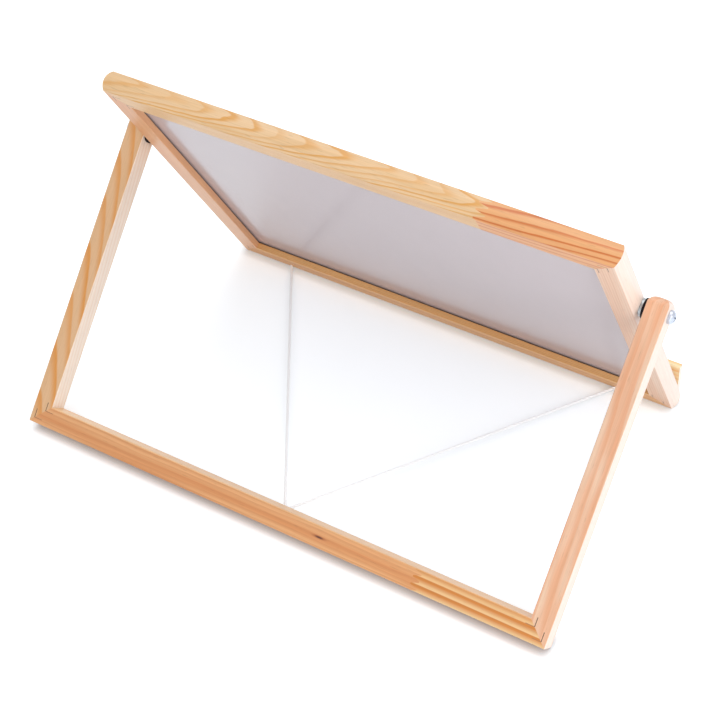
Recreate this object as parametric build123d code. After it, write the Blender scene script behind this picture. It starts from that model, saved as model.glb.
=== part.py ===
"""Desk easel: a framed magnetic writing board and a U-shaped stand that turns on two screws.

Millimetres, +Z up, the front towards -Y, left is -X. The origin is on the table,
under the middle of the open easel. The easel is modelled open, with its cord tight.

Board and stand are each built lying down, in frames of their own, and then set up:
  board: x across, y up the slope from the bottom arris, z from the back face to the front face
  stand: x across, y up the legs from the bottom edge, z from the rear face to the front face
"""

import os
from math import acos, asin, atan2, cos, degrees, hypot, pi, radians, sin, tan

from build123d import *
from build123d.topology import SkipClean

# ---- the board's frame ----
BOARD_WIDTH = 401.0         # between the side arrises, without the crowned edges
BOARD_HEIGHT = 304.0        # between the top and bottom arrises
FRAME_FACE = 16.8           # width of the moulding's face, from arris to inner edge
FRAME_DEPTH = 16.4          # thickness of the moulding
CROWN_RISE = 2.5            # how far the outer edge swells past its arrises
FRAME_EASE = 0.5            # rounding of the moulding's long edges
GROOVE_REACH = 6.0          # how far the panel groove cuts into the moulding
GROOVE_FROM_BACK = 5.1
GROOVE_WIDTH = 5.1

# ---- the panel ----
BACK_SHEET = 0.6
CORE = 3.0
FRONT_SHEET = 0.4
PANEL_END_GAP = 0.5         # between the panel's edge and the bottom of its groove
WRITING_MARGIN = 0.5        # between the frame's inner edge and where a magnet can lie flat

# ---- the marker ledge ----
LEDGE_WIDTH = 30.0          # along its outer face
LEDGE_THICKNESS = 5.4
LEDGE_ANGLE = 27.5          # between the ledge and the board's face, degrees
LEDGE_EASE = 0.8

# ---- the stand ----
LEG_FACE = 16.2             # width of legs and rail, seen from the rear
STAND_DEPTH = 17.0
STAND_EASE = 0.6
PIVOT_TO_FOOT = 241.15      # from the pivot down to the rail's bottom edge
PIVOT_TO_LEG_END = 10.5     # from the pivot up to the leg's end
LEG_END_ROUNDING = 6.0      # on all four sides of the leg's end

# ---- how it stands ----
BOARD_LEAN = 58.2           # the board's slope above the table, degrees
PIVOT_UP_BOARD = 213.4      # from the board's bottom arris, at mid depth

# ---- pivot screws and washers ----
SCREW_LENGTH = 30.0         # under the head
SCREW_RADIUS = 2.5
SCREW_POINT = 4.0           # length of the tapered point
SCREW_TIP = 0.4             # radius of its blunt tip
HEAD_RADIUS = 5.0
HEAD_HEIGHT = 4.4
HEAD_RIM = 1.9              # upright rim below the dome
RECESS_DEPTH = 1.5
RECESS_SPAN = 5.0
RECESS_WIDTH = 1.1
RUNNING_FIT = 0.05          # between the shank and the leg's hole
SCREW_SEAT = 0.05           # between the shank and its hole in the stile
POINT_ROOM = 0.3            # past the screw's point
SPOT_FACE_DEPTH = 0.3       # flat cut into the stile's crown for the washer
SPOT_FACE_MARGIN = 0.5
STEEL_WASHER_RADIUS = 6.5
STEEL_WASHER_BORE = 2.75
STEEL_WASHER_THICKNESS = 2.0
RUBBER_WASHER_RADIUS = 7.5
RUBBER_WASHER_BORE = 2.85
RUBBER_WASHER_THICKNESS = 2.0
TURNING_GAP = 0.1           # between faces that turn on each other

# ---- joints in the wood ----
FINGER_PITCH = 5.6
FINGER_TIP = 1.0            # width of a finger's blunt tip
BOARD_FINGER_LENGTH = 8.0
BOARD_FINGER_X = -103.5     # middle of the joint in the top rail
BOARD_FINGER_START = 1.0    # first finger of the left piece, from the back face
STAND_FINGER_LENGTH = 6.0
STAND_FINGER_X = -119.5     # middle of the joint in the stand's rail
STAND_FINGER_START = 4.6    # first finger of the left piece, from the bottom edge
V_NAIL_WING = 7.0
V_NAIL_SHEET = 0.6
V_NAIL_DRIVE = 5.0          # how deep a nail stands in the wood
BOARD_V_NAILS = (5.6, 13.8)  # how far in from the corner each nail's fold lies
STAND_V_NAILS = (3.9, 11.7)

# ---- the cord, from one end to the other, and its staples ----
CORD_DIAMETER = 2.3
CORD_END = (161.9, -141.9, 4.3)       # under the board, past its staple
CORD_KNEE = (159.9, -138.8, 1.2)      # where it turns up to the staple
CORD_FOLD_TOP = (1.3, 119.9, 9.4)     # where it meets the stand, above the staple
CORD_PAST_STAPLE = (1.3, 121.6, 7.5)  # from here the two strands spread
CORD_FOLD_END = (2.6, 126.5, 1.9)     # corner of the fold
CORD_SHARE = 0.45           # how much of the shorter run each bend takes
CORD_CLEARANCE = 0.3        # between the cord and what it passes
STAPLE_WIRE = 0.8           # thickness of the flat wire
STAPLE_BREADTH = 1.2
STAPLE_LEG = 7.0            # how deep a staple stands in the wood
BOARD_STAPLE_X = 161.2
BOARD_STAPLE_DEPTH = 11.4   # of those staples, from the board's back face
STAND_STAPLE_DROP = 3.4     # from the rail's inner edge down to the staple
STRAND_GAP = 0.3            # between the two strands under the stand's staple

# ---- worked out from the sizes above ----
HALF_WIDTH = BOARD_WIDTH / 2
MID_DEPTH = FRAME_DEPTH / 2
MID_STAND = STAND_DEPTH / 2
CROWN_RADIUS = (MID_DEPTH**2 + CROWN_RISE**2) / (2 * CROWN_RISE)
CROWN_CENTRE = CROWN_RADIUS - CROWN_RISE      # up the slope from the bottom arris
PANEL_WIDTH = BOARD_WIDTH - 2 * (FRAME_FACE - GROOVE_REACH + PANEL_END_GAP)
PANEL_HEIGHT = BOARD_HEIGHT - 2 * (FRAME_FACE - GROOVE_REACH + PANEL_END_GAP)
WRITING_WIDTH = BOARD_WIDTH - 2 * (FRAME_FACE + WRITING_MARGIN)
WRITING_HEIGHT = BOARD_HEIGHT - 2 * (FRAME_FACE + WRITING_MARGIN)
CORE_FRONT = GROOVE_FROM_BACK + GROOVE_WIDTH - FRONT_SHEET
CORE_BACK = CORE_FRONT - CORE
STILE_SEAT = HALF_WIDTH + CROWN_RISE - SPOT_FACE_DEPTH
RUBBER_INNER = STILE_SEAT + STEEL_WASHER_THICKNESS + TURNING_GAP
LEG_INNER = RUBBER_INNER + RUBBER_WASHER_THICKNESS
HALF_STAND = LEG_INNER + LEG_FACE
HEAD_SEAT = HALF_STAND + TURNING_GAP
LEG_END = PIVOT_TO_FOOT + PIVOT_TO_LEG_END
CLIP_ROOM = CORD_DIAMETER + 2 * CORD_CLEARANCE
FOLD_ROOM = CLIP_ROOM + CORD_DIAMETER + STRAND_GAP
MARGIN = 10.0               # how far cutting tools reach past what they cut

# ---- the open pose: both feet on the table, board and stand at one pivot ----
lean = radians(BOARD_LEAN)
PIVOT_HEIGHT = CROWN_RADIUS + (PIVOT_UP_BOARD - CROWN_CENTRE) * sin(lean)
foot_along = PIVOT_TO_FOOT - STAND_EASE       # from the pivot to the middle of the foot's rounding
foot_across = MID_STAND - STAND_EASE
foot_reach = hypot(foot_along, foot_across)
stand_lean = asin((PIVOT_HEIGHT - STAND_EASE) / foot_reach) - atan2(foot_across, foot_along)
FOLD_ANGLE = 180 - BOARD_LEAN - degrees(stand_lean)
front_reach = PIVOT_UP_BOARD * cos(lean) + MID_DEPTH * sin(lean)
rear_reach = foot_along * cos(stand_lean) + foot_across * sin(stand_lean) + STAND_EASE
PIVOT = Vector(0, (front_reach - rear_reach) / 2, PIVOT_HEIGHT)

board_up = Vector(0, cos(lean), sin(lean))
board_out = Vector(0, -sin(lean), cos(lean))
stand_up = Vector(0, -cos(stand_lean), sin(stand_lean))
stand_in = Vector(0, -sin(stand_lean), -cos(stand_lean))
board_plane = Plane(PIVOT - board_up * PIVOT_UP_BOARD - board_out * MID_DEPTH, (1, 0, 0), board_out)
stand_plane = Plane(PIVOT - stand_up * PIVOT_TO_FOOT - stand_in * MID_STAND, (1, 0, 0), stand_in)


# ---- timber ----
def bar(profile, half_length):
    """A bar along x whose section, drawn in (x, y), stands in (y, z)."""
    return extrude(Plane.YZ * profile, half_length, both=True)


def moulding_profile():
    """The board's moulding: crowned outer edge, panel groove in the inner edge, eased long edges."""
    with BuildLine() as outline:
        ThreePointArc((0, 0), (-CROWN_RISE, MID_DEPTH), (0, FRAME_DEPTH))
        Polyline((0, FRAME_DEPTH), (FRAME_FACE, FRAME_DEPTH), (FRAME_FACE, 0), (0, 0))
    section = make_face(outline.line)
    section = fillet(section.vertices(), FRAME_EASE)
    groove = Rectangle(GROOVE_REACH + MARGIN, GROOVE_WIDTH, align=Align.MIN)
    return section - Pos(FRAME_FACE - GROOVE_REACH, GROOVE_FROM_BACK) * groove


def stand_profile():
    """The stand's timber: a rectangle with eased edges."""
    section = Rectangle(LEG_FACE, STAND_DEPTH, align=Align.MIN)
    return fillet(section.vertices(), STAND_EASE)


def mitred(timber, half_length, width):
    """The timber between two 45 degree mitres from its outer corners (+-half_length, 0)."""
    plan = Polygon(
        (-half_length - MARGIN, -MARGIN),
        (half_length + MARGIN, -MARGIN),
        (half_length - width - MARGIN, width + MARGIN),
        (width + MARGIN - half_length, width + MARGIN),
        align=None,
    )
    return timber & extrude(plan, STAND_DEPTH + MARGIN, both=True)


def moulding(half_length):
    """One mitred side of the board, its outer arris along x and its inner edge towards +y."""
    return mitred(bar(moulding_profile(), half_length + MARGIN), half_length, FRAME_FACE)


def finger_joint(rail, middle, length, first, width, across):
    """The rail's left and right pieces, with tapered blunt fingers that fill each other's gaps.

    The fingers are drawn side by side along y; across turns them to the rail's own direction.
    """
    root, tip = middle - length / 2, middle + length / 2
    half_root, half_tip = (FINGER_PITCH - FINGER_TIP) / 2, FINGER_TIP / 2
    count = int(width / FINGER_PITCH) + 3
    centres = [first + (number - 1) * FINGER_PITCH for number in range(count)]
    edge = []
    for centre in centres:
        edge += [(root, centre - half_root), (tip, centre - half_tip)]
        edge += [(tip, centre + half_tip), (root, centre + half_root)]
    far_left = -HALF_STAND - MARGIN
    outline = Polygon((far_left, edge[0][1]), *edge, (far_left, edge[-1][1]), align=None)
    left_side = across * extrude(outline, BOARD_HEIGHT + MARGIN, both=True)
    return rail & left_side, rail - left_side


def v_nails(half_width, places, height=None):
    """V-shaped nails across the mitres of the bottom corners and, up to that height, the top ones."""
    along = Box(V_NAIL_WING, V_NAIL_SHEET, V_NAIL_DRIVE, align=(Align.MIN, Align.CENTER, Align.MIN))
    upright = Box(V_NAIL_SHEET, V_NAIL_WING, V_NAIL_DRIVE, align=(Align.CENTER, Align.MIN, Align.MIN))
    nail = along + upright
    left = [Pos(inset - half_width, inset) * nail for inset in places]
    if height is not None:
        left += [Pos(inset - half_width, height - inset) * Rot(0, 0, -90) * nail for inset in places]
    return left + [mirror(one, Plane.YZ) for one in left]


def drilled(radius, start, end, up, depth):
    """The space of a hole along x from start to end, and of its mirror image on the left."""
    hole = Cylinder(radius, end - start, align=(Align.CENTER, Align.CENTER, Align.MIN))
    right = Pos(start, up, depth) * Rot(0, 90, 0) * hole
    return right + mirror(right, Plane.YZ)


# ---- hardware ----
def pivot_screw():
    """Pan-head wood screw along x: the head's underside at x = 0, the point towards -x."""
    dome = HEAD_HEIGHT - HEAD_RIM
    dome_radius = (HEAD_RADIUS**2 + dome**2) / (2 * dome)
    half_turn = acos(1 - dome / dome_radius) / 2
    dome_middle = (dome_radius * sin(half_turn), HEAD_HEIGHT - dome_radius * (1 - cos(half_turn)))
    with BuildLine() as outline:
        Polyline(
            (0, HEAD_HEIGHT),
            (0, -SCREW_LENGTH),
            (SCREW_TIP, -SCREW_LENGTH),
            (SCREW_RADIUS, SCREW_POINT - SCREW_LENGTH),
            (SCREW_RADIUS, 0),
            (HEAD_RADIUS, 0),
            (HEAD_RADIUS, HEAD_RIM),
        )
        ThreePointArc((HEAD_RADIUS, HEAD_RIM), dome_middle, (0, HEAD_HEIGHT))
    turned = revolve(Plane.XZ * make_face(outline.line), Axis.Z)
    slot = Box(RECESS_SPAN, RECESS_WIDTH, RECESS_DEPTH, align=(Align.CENTER, Align.CENTER, Align.MAX))
    cross = Pos(0, 0, HEAD_HEIGHT) * (slot + Rot(0, 0, 90) * slot)
    return Rot(0, 90, 0) * (turned - cross)


def washer(radius, bore, thickness):
    """A flat washer from x = 0 to x = thickness."""
    return Rot(0, 90, 0) * extrude(Circle(radius) - Circle(bore), thickness)


def staple(room):
    """A staple of flat wire: its crown along x over a gap of this width, its legs below z = 0."""
    top = (Align.CENTER, Align.CENTER, Align.MAX)
    outer = Box(room + 2 * STAPLE_WIRE, STAPLE_BREADTH, CLIP_ROOM + STAPLE_WIRE + STAPLE_LEG, align=top)
    inner = Box(room, STAPLE_BREADTH, CLIP_ROOM + STAPLE_LEG, align=top)
    return Pos(0, 0, CLIP_ROOM + STAPLE_WIRE) * outer - Pos(0, 0, CLIP_ROOM) * inner


def crown_place(x, depth):
    """The place on the bottom rail's crown at this depth: z out of the wood, y towards the front."""
    turn = asin((depth - MID_DEPTH) / CROWN_RADIUS)
    foot = (x, CROWN_CENTRE - CROWN_RADIUS * cos(turn), depth)
    return Plane(foot, (1, 0, 0), (0, -cos(turn), sin(turn)))


def board_staples():
    """The two staples under the bottom rail, each square to its strand of the cord."""
    heading = degrees(atan2(CORD_KNEE[0] - CORD_FOLD_TOP[0], CORD_FOLD_TOP[1] - CORD_KNEE[1]))
    right = crown_place(BOARD_STAPLE_X, BOARD_STAPLE_DEPTH).location * Rot(0, 0, -heading) * staple(CLIP_ROOM)
    return [right, mirror(right, Plane.YZ)]


# ---- the cord ----
def cord_points():
    """The cord's route on the table: board, fold at the stand, board."""
    right = [CORD_END, CORD_KNEE, CORD_FOLD_TOP, CORD_PAST_STAPLE, CORD_FOLD_END]
    left = [(-x, y, z) for x, y, z in reversed(right)]
    return [Vector(point) for point in right + left]


def bend_radii(points):
    """The radius at each inner point: its share of the shorter run over the tangent of half the turn."""
    radii = []
    for before, here, after in zip(points, points[1:], points[2:]):
        coming, going = here - before, after - here
        turn = radians(coming.get_angle(going))
        radii.append(CORD_SHARE * min(coming.length, going.length) / tan(turn / 2))
    return radii


def tube(points, diameter):
    """A round tube along straight runs joined by tangent arcs, and the length of that line."""
    route = FilletPolyline(*points, radius=bend_radii(points))
    start = Plane(route @ 0, z_dir=route % 0)
    return sweep(start * Circle(diameter / 2), path=route), route.length


# ---- the board ----
def board_pieces():
    """Every piece of the board's body, in the board's frame."""
    pivots = drilled(SCREW_RADIUS + SCREW_SEAT, HEAD_SEAT - SCREW_LENGTH - POINT_ROOM, HEAD_SEAT,
                     PIVOT_UP_BOARD, MID_DEPTH)
    spot_faces = drilled(STEEL_WASHER_RADIUS + SPOT_FACE_MARGIN, STILE_SEAT, HEAD_SEAT,
                         PIVOT_UP_BOARD, MID_DEPTH)
    nails = v_nails(HALF_WIDTH, BOARD_V_NAILS, BOARD_HEIGHT)
    staples = board_staples()
    cord_end = cord_points()[:3]
    channel, _ = tube(cord_end, CLIP_ROOM)
    channel = board_plane.location.inverse() * channel

    bottom = moulding(HALF_WIDTH) - nails - staples - channel - mirror(channel, Plane.YZ)
    top = Pos(0, BOARD_HEIGHT) * Rot(0, 0, 180) * moulding(HALF_WIDTH) - nails
    stile = Pos(HALF_WIDTH, BOARD_HEIGHT / 2) * Rot(0, 0, 90) * moulding(BOARD_HEIGHT / 2)
    stile = stile - pivots - spot_faces
    top_left, top_right = finger_joint(top, BOARD_FINGER_X, BOARD_FINGER_LENGTH, BOARD_FINGER_START,
                                       FRAME_DEPTH, Rot(90, 0, 0))

    pieces = {
        "board_top_rail_left": top_left,
        "board_top_rail_right": top_right,
        "board_bottom_rail": bottom,
        "board_right_stile": stile - nails,
        "board_left_stile": mirror(stile, Plane.YZ) - nails,
        "board_v_nails": nails,
        "board_cord_staples": staples,
        "marker_ledge": marker_ledge(),
        "back_sheet": layer(PANEL_WIDTH, PANEL_HEIGHT, CORE_BACK - BACK_SHEET, BACK_SHEET),
        "panel_core": layer(PANEL_WIDTH, PANEL_HEIGHT, CORE_BACK, CORE),
        "writing_sheet": writing_sheet(),
    }
    screw = Pos(HEAD_SEAT, PIVOT_UP_BOARD, MID_DEPTH) * pivot_screw()
    ring = washer(STEEL_WASHER_RADIUS, STEEL_WASHER_BORE, STEEL_WASHER_THICKNESS)
    ring = Pos(STILE_SEAT, PIVOT_UP_BOARD, MID_DEPTH) * ring
    pieces["right_pivot_screw"] = screw
    pieces["right_steel_washer"] = ring
    pieces["left_pivot_screw"] = mirror(screw, Plane.YZ)
    pieces["left_steel_washer"] = mirror(ring, Plane.YZ)
    return pieces


def layer(width, height, back, thickness):
    """A flat sheet in the middle of the board, from its back upwards."""
    sheet = Box(width, height, thickness, align=(Align.CENTER, Align.CENTER, Align.MIN))
    return Pos(0, BOARD_HEIGHT / 2, back) * sheet


def writing_sheet():
    """The steel front sheet, with the area that the frame leaves open as a face of its own."""
    open_area = layer(WRITING_WIDTH, WRITING_HEIGHT, CORE_FRONT, FRONT_SHEET)
    border = layer(PANEL_WIDTH, PANEL_HEIGHT, CORE_FRONT, FRONT_SHEET) - open_area
    with SkipClean():
        return border + open_area


def marker_ledge():
    """A thin strip, bevelled so that it stands off the board's face at an angle and holds pens."""
    angle = radians(LEDGE_ANGLE)
    along = Vector(cos(angle), sin(angle)) * LEDGE_WIDTH
    inwards = Vector(sin(angle), -cos(angle)) * LEDGE_THICKNESS
    section = Polygon(
        (0, 0),
        (LEDGE_THICKNESS / sin(angle), 0),
        tuple(along + inwards)[:2],
        tuple(along)[:2],
        align=None,
    )
    section = fillet(section.vertices().filter_by(lambda corner: corner.Y > LEDGE_EASE), LEDGE_EASE)
    return Pos(0, 0, FRAME_DEPTH) * bar(section, HALF_WIDTH)


# ---- the stand ----
def stand_pieces():
    """Every piece of the stand's body, in the stand's frame."""
    pivots = drilled(SCREW_RADIUS + RUNNING_FIT, RUBBER_INNER, HEAD_SEAT, PIVOT_TO_FOOT, MID_STAND)
    nails = v_nails(HALF_STAND, STAND_V_NAILS)
    clip = Pos(0, LEG_FACE - STAND_STAPLE_DROP, STAND_DEPTH) * staple(FOLD_ROOM)
    rail = mitred(bar(stand_profile(), HALF_STAND + MARGIN), HALF_STAND, LEG_FACE) - nails - clip
    rail_left, rail_right = finger_joint(rail, STAND_FINGER_X, STAND_FINGER_LENGTH, STAND_FINGER_START,
                                         LEG_FACE, Rot(0, 0, 0))
    right_leg = leg() - pivots
    ring = washer(RUBBER_WASHER_RADIUS, RUBBER_WASHER_BORE, RUBBER_WASHER_THICKNESS)
    ring = Pos(RUBBER_INNER, PIVOT_TO_FOOT, MID_STAND) * ring
    return {
        "stand_right_leg": right_leg - nails,
        "stand_left_leg": mirror(right_leg, Plane.YZ) - nails,
        "stand_rail_left": rail_left,
        "stand_rail_right": rail_right,
        "stand_v_nails": nails,
        "stand_cord_staple": clip,
        "right_rubber_washer": ring,
        "left_rubber_washer": mirror(ring, Plane.YZ),
    }


def end_waste(width):
    """What rounding takes off the leg's end in one view, drawn along x and across y."""
    square = Rectangle(LEG_END_ROUNDING + MARGIN, width + 2 * MARGIN, align=Align.MIN)
    rounded = Rectangle(LEG_END, width, align=Align.MIN)
    rounded = fillet(rounded.vertices().group_by(Axis.X)[-1], LEG_END_ROUNDING)
    return Pos(LEG_END - LEG_END_ROUNDING, -MARGIN) * square - rounded


def leg():
    """The right leg: mitred at the bottom, its top end rounded on all four sides."""
    upright = Pos(HALF_STAND, 0) * Rot(0, 0, 90)
    timber = upright * bar(stand_profile(), LEG_END)
    mitre = Polygon(
        (HALF_STAND + MARGIN, -MARGIN),
        (HALF_STAND + MARGIN, LEG_END),
        (LEG_INNER - MARGIN, LEG_END),
        (LEG_INNER - MARGIN, LEG_FACE + MARGIN),
        align=None,
    )
    timber = timber & extrude(mitre, STAND_DEPTH + MARGIN, both=True)
    timber = timber - upright * extrude(end_waste(LEG_FACE), STAND_DEPTH + MARGIN, both=True)
    return timber - bar(end_waste(STAND_DEPTH), HALF_STAND + MARGIN)


# ---- the whole easel ----
def one_shape(piece):
    """A piece of several solids as one compound, a single solid as it is."""
    if isinstance(piece, list):
        return Compound(children=[solid for one in piece for solid in one.solids()])
    return piece


def main():
    """Builds every piece, sets board and stand up on the table and writes one file for each."""
    cord, cord_length = tube(cord_points(), CORD_DIAMETER)
    expected = pi * (CORD_DIAMETER / 2) ** 2 * cord_length
    print("cord radii", [round(radius, 1) for radius in bend_radii(cord_points())])
    print("cord length", round(cord_length, 1))
    print("cord volume", round(cord.volume, 1), "expected", round(expected, 1))

    easel = {"spread_cord": cord}
    for pieces, plane in ((board_pieces(), board_plane), (stand_pieces(), stand_plane)):
        for name, piece in pieces.items():
            easel[name] = plane.location * one_shape(piece)

    os.makedirs("parts", exist_ok=True)
    for name, piece in easel.items():
        export_step(piece, f"parts/{name}.step")
    face = board_plane.from_local_coords(Vector(0, BOARD_HEIGHT / 2, GROOVE_FROM_BACK + GROOVE_WIDTH))
    print("pivot", PIVOT, "stand leans", round(degrees(stand_lean), 3), "fold", round(FOLD_ANGLE, 3))
    print("board arris", board_plane.origin, "stand foot", stand_plane.origin)
    print("writing face", face, "outwards", board_out)


main()
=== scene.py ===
"""Looks of a framed magnetic writing board on its folding wooden easel stand.

Metres, +Z up, the writing side towards -Y, left is -X, the origin on the table under the
middle of the open easel. The timber, the panel and the hardware keep the solids of the
loaded frame and get their finishes here. The cord is laid up from its strands here.
"""

import logging
import math
from collections.abc import Callable, Sequence
from dataclasses import dataclass
from enum import Enum
from functools import partial

import bpy
import numpy as np
from mathutils import Matrix, Vector


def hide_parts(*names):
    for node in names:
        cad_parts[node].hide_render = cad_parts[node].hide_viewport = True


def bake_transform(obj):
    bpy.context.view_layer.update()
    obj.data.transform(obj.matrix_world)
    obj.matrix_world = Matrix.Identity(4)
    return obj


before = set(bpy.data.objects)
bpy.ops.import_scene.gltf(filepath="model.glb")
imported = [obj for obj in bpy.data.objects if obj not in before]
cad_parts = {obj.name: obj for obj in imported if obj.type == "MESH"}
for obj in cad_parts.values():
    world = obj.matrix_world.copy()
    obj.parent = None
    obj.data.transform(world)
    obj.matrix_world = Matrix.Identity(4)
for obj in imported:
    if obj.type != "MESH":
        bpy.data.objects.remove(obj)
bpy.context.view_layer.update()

log = logging.getLogger("easel")

Colour = tuple[float, float, float]
Point = tuple[float, float, float]
Span = tuple[float, float]
Socket = bpy.types.NodeSocket

WHITE = (1.0, 1.0, 1.0, 1.0)
NOISE_SPAN: Span = (0.3, 0.7)  # Nearly all of a noise lies between these.


def linear(colour: Colour) -> tuple[float, float, float, float]:
    """Turns a colour as it shows on a screen into the linear values that a shader takes.

    Each channel c becomes ((c + 0.055) / 1.055) to the power 2.4, or c / 12.92 when it is dark.

    Args:
        colour: Red, green and blue, each from 0 to 1, as seen on a screen.

    Returns:
        The linear red, green and blue, and an alpha of 1.
    """
    red, green, blue = (c / 12.92 if c <= 0.04045 else ((c + 0.055) / 1.055) ** 2.4 for c in colour)
    return (red, green, blue, 1.0)


def dimmed(colour: Sequence[float], share: float) -> tuple[float, float, float, float]:
    """The same linear colour at a share of its brightness."""
    return (*(share * channel for channel in colour[:3]), 1.0)


# ---------------------------------------------------------------- where things lie


class Run(Enum):
    """Which way the grain of a length of timber runs in its frame."""

    ACROSS = "across"
    UPRIGHT = "upright"


@dataclass(frozen=True)
class Lie:
    """How a sub-assembly lies when the easel is open.

    Attributes:
        origin: The middle of the bottom edge of its rear face.
        slope: The angle between its sides and the table, in degrees.
        lean: Which way its sides go as they rise: 1 is towards +Y, -1 towards -Y.
    """

    origin: Point
    slope: float
    lean: int

    def up(self) -> Vector:
        """The direction up its sides."""
        angle = math.radians(self.slope)
        return Vector((0.0, self.lean * math.cos(angle), math.sin(angle)))

    def out(self) -> Vector:
        """The direction from its rear face to its front face."""
        return Vector((1.0, 0.0, 0.0)).cross(self.up())

    def axes(self, run: Run) -> Matrix:
        """The rows that turn a place in the room into along, across and through the timber.

        Args:
            run: Which way the grain runs.

        Returns:
            A turn whose rows are the grain's direction, the direction across it and the depth.
        """
        side = Vector((1.0, 0.0, 0.0))
        rows = (side, self.up(), self.out()) if run is Run.ACROSS else (self.up(), -side, self.out())
        return Matrix(rows)


BOARD_LIE = Lie(origin=(0.0, -0.128897, 0.00001), slope=58.2, lean=1)
STAND_LIE = Lie(origin=(0.0, 0.143082, 0.011042), slope=48.389, lean=-1)


# ---------------------------------------------------------------- wiring shader nodes


@dataclass
class Wiring:
    """Places nodes in one node tree and joins their sockets.

    Attributes:
        tree: The node tree that it fills.
    """

    tree: bpy.types.NodeTree

    def add(self, kind: str, inputs: dict[str | int, object] | None = None,
            **settings: object) -> bpy.types.Node:
        """Adds a node.

        Args:
            kind: The node's type, such as ShaderNodeMix.
            inputs: What feeds its inputs, as feed takes it.
            **settings: The node's own settings, such as its operation.

        Returns:
            The new node.
        """
        node = self.tree.nodes.new(kind)
        for name, value in settings.items():
            setattr(node, name, value)
        self.feed(node, inputs or {})
        return node

    def feed(self, node: bpy.types.Node, inputs: dict[str | int, object]) -> None:
        """Feeds a node's inputs.

        Args:
            node: The node.
            inputs: For each input, by name or number, the socket that feeds it or its value.
        """
        for key, value in inputs.items():
            socket = node.inputs[key]
            if isinstance(value, Socket):
                self.tree.links.new(value, socket)
            else:
                socket.default_value = value

    def place(self) -> Socket:
        """The place on the object."""
        return self.add("ShaderNodeTexCoord").outputs["Object"]

    def apart(self, vector: Socket) -> tuple[Socket, ...]:
        """The three parts of a vector."""
        return tuple(self.add("ShaderNodeSeparateXYZ", {0: vector}).outputs)

    def maths(self, operation: str, first: Socket | float, second: Socket | float = 0.0,
              third: Socket | float = 0.0) -> Socket:
        """Adds a Math node and returns its result."""
        return self.add("ShaderNodeMath", {0: first, 1: second, 2: third}, operation=operation).outputs[0]

    def vector_maths(self, operation: str, first: Socket, second: Socket | Point) -> Socket:
        """Adds a Vector Math node and returns its vector."""
        return self.add("ShaderNodeVectorMath", {0: first, 1: second}, operation=operation).outputs[0]

    def mix(self, share: Socket | float, first: Socket | Sequence[float], second: Socket | Sequence[float],
            blend: str = "MIX") -> Socket:
        """Mixes two colours, which are a Mix node's inputs 6 and 7 and its output 2.

        Args:
            share: How much of the second colour shows.
            first: The first colour.
            second: The second colour.
            blend: The blend type, such as MIX or MULTIPLY.

        Returns:
            The mixed colour.
        """
        node = self.add("ShaderNodeMix", {0: share, 6: first, 7: second}, data_type="RGBA", blend_type=blend)
        return node.outputs[2]

    def shade(self, colour: Socket | Sequence[float], share: Socket) -> Socket:
        """Multiplies a colour by a number that changes over the surface."""
        grey = self.add("ShaderNodeCombineColor", {0: share, 1: share, 2: share}).outputs[0]
        return self.mix(1.0, colour, grey, "MULTIPLY")

    def remap(self, value: Socket, low: Socket | float, high: float, to_low: float = 0.0,
              to_high: float = 1.0, smooth: bool = False) -> Socket:
        """Maps a value from one range to another and keeps it inside the second.

        Args:
            value: The value.
            low: Where the first range starts.
            high: Where it ends.
            to_low: What low becomes.
            to_high: What high becomes.
            smooth: Whether the step eases in and out.

        Returns:
            The mapped value.
        """
        kind = "SMOOTHSTEP" if smooth else "LINEAR"
        inputs = {0: value, 1: low, 2: high, 3: to_low, 4: to_high}
        return self.add("ShaderNodeMapRange", inputs, interpolation_type=kind).outputs[0]

    def noise(self, vector: Socket, waves: Point | Socket, detail: float) -> Socket:
        """Noise with its own number of waves per metre, or per unit of a map, on each axis."""
        scaled = self.add("ShaderNodeMapping", {"Vector": vector, "Scale": waves}).outputs[0]
        return self.add("ShaderNodeTexNoise", {"Vector": scaled, "Scale": 1.0, "Detail": detail}).outputs[0]

    def bump(self, height: Socket, depth: float) -> Socket:
        """The normal of a height from 0 to 1, where 1 stands out by the depth."""
        return self.add("ShaderNodeBump", {"Height": height, "Distance": depth, "Strength": 1.0}).outputs[0]


def emptied(owner: bpy.types.Material | bpy.types.World) -> Wiring:
    """Turns on a new material's or world's nodes and clears them.

    Args:
        owner: The material or the world.

    Returns:
        The wiring for its nodes.
    """
    owner.use_nodes = True
    owner.node_tree.nodes.clear()
    return Wiring(owner.node_tree)


def shader_group(name: str, inputs: dict[str, float | None], outputs: tuple[str, ...],
                 fill: Callable[[Wiring, dict[str, Socket]], dict[str, Socket]]) -> bpy.types.NodeTree:
    """Builds a node group with named sockets.

    Args:
        name: The group's name.
        inputs: The default of each input: a number, or None for a vector.
        outputs: The names of its outputs, all of them numbers.
        fill: Places the nodes, given the wiring and the inputs, and returns the outputs.

    Returns:
        The finished group.
    """
    tree = bpy.data.node_groups.new(name, "ShaderNodeTree")
    for label, default in inputs.items():
        kind = "NodeSocketVector" if default is None else "NodeSocketFloat"
        socket = tree.interface.new_socket(label, in_out="INPUT", socket_type=kind)
        if default is not None:
            socket.default_value = default
    for label in outputs:
        tree.interface.new_socket(label, in_out="OUTPUT", socket_type="NodeSocketFloat")
    wiring = Wiring(tree)
    entry = wiring.add("NodeGroupInput")
    results = fill(wiring, {label: entry.outputs[label] for label in inputs})
    wiring.add("NodeGroupOutput", results)
    return tree


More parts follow.
